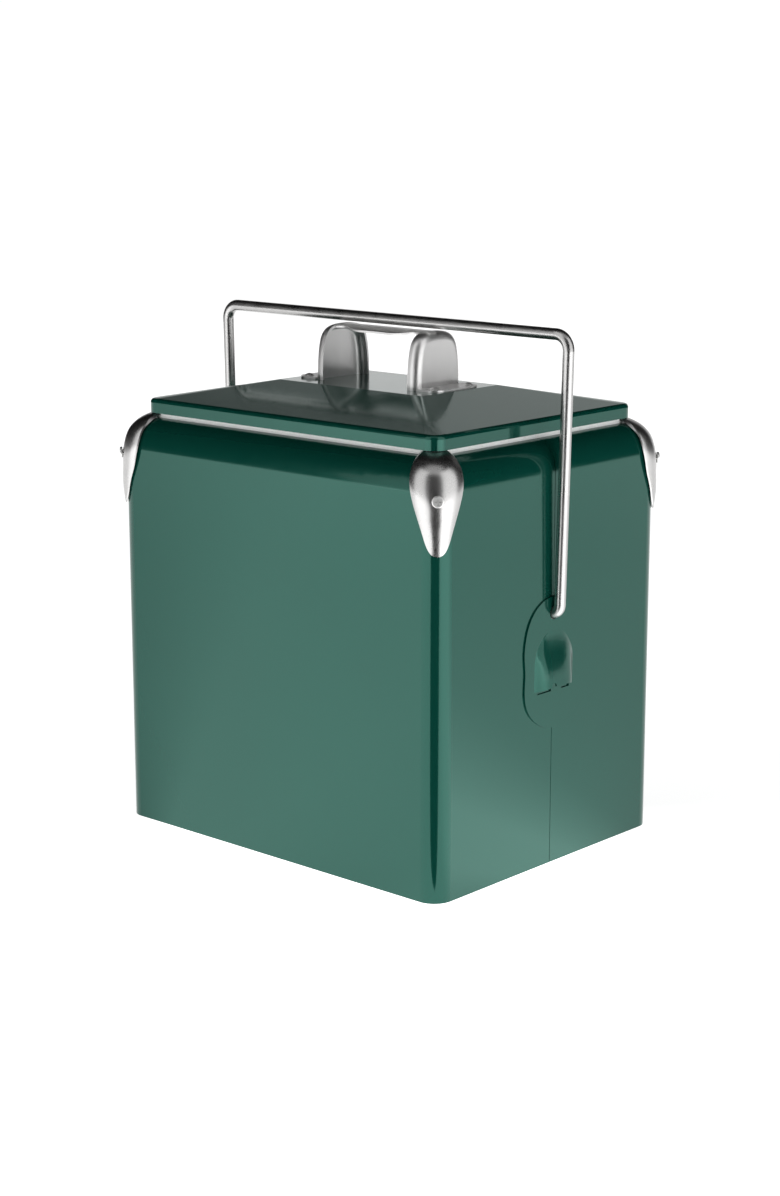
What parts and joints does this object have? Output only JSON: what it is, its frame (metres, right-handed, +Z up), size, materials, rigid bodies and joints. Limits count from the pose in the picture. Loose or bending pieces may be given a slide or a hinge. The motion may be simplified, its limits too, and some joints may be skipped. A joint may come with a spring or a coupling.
{
  "type": "vintage soda cooler chest",
  "caption": "Upright painted steel cooler chest with an insulated tub, lift-off lid with strap handle, swinging bail that locks the lid, steel corner caps and a side bottle opener.",
  "frame": {"origin": "centre of the flat base, on the floor", "axes": "+X along the long front face towards the viewer's right, -Y out of the front face, +Z up"},
  "size_m": [0.3318, 0.2492, 0.374],
  "materials": {
    "body_paint": "gloss dark green enamel",
    "liner_plastic": "smooth pale grey moulding",
    "foam": "fine beads",
    "cap_steel": "satin",
    "bail_steel": "satin, drawn bar",
    "fastener_steel": "bright",
    "gasket_rubber": "soft matt"
  },
  "bodies": {
    "cooler_body": {"front_shell": "body_paint", "rear_shell": "body_paint", "opener_plate_right": "body_paint", "opener_plate_left": "body_paint", "base_pan": "body_paint", "liner_tub": "liner_plastic", "wall_foam": "foam", "floor_foam": "foam", "corner_cap_front_right": "cap_steel", "corner_cap_front_left": "cap_steel", "corner_cap_rear_left": "cap_steel", "corner_cap_rear_right": "cap_steel", "corner_screws": "fastener_steel", "corner_nuts": "fastener_steel", "seam_strip_left": "fastener_steel", "seam_strip_right": "fastener_steel", "pivot_bracket_left": "fastener_steel", "pivot_bracket_right": "fastener_steel", "pivot_bush_left": "fastener_steel", "pivot_bush_right": "fastener_steel"},
    "bail": {"bail_handle": "bail_steel", "bail_retainers": "bail_steel"},
    "lid": {"lid_skin": "body_paint", "lid_foam": "foam", "lid_liner": "liner_plastic", "lid_gasket": "gasket_rubber", "lid_handle": "cap_steel", "handle_rivets": "fastener_steel", "rivet_plate_left": "fastener_steel", "rivet_plate_right": "fastener_steel"}
  },
  "joints": [
    {"name": "bail_swing", "type": "hinge", "parent": "cooler_body", "child": "bail", "pos_m": [0, 0, 0.18], "axis": [1, 0, 0], "range_deg": [0, 138.5]},
    {"name": "lid_lift", "type": "slide", "parent": "cooler_body", "child": "lid", "axis": [0, 0, 1], "range_m": [0, 0.0451]}
  ],
  "couplings": [
    {"joint": "lid_lift", "follows": "bail_swing", "m_per_rad": 0.0186}
  ]
}
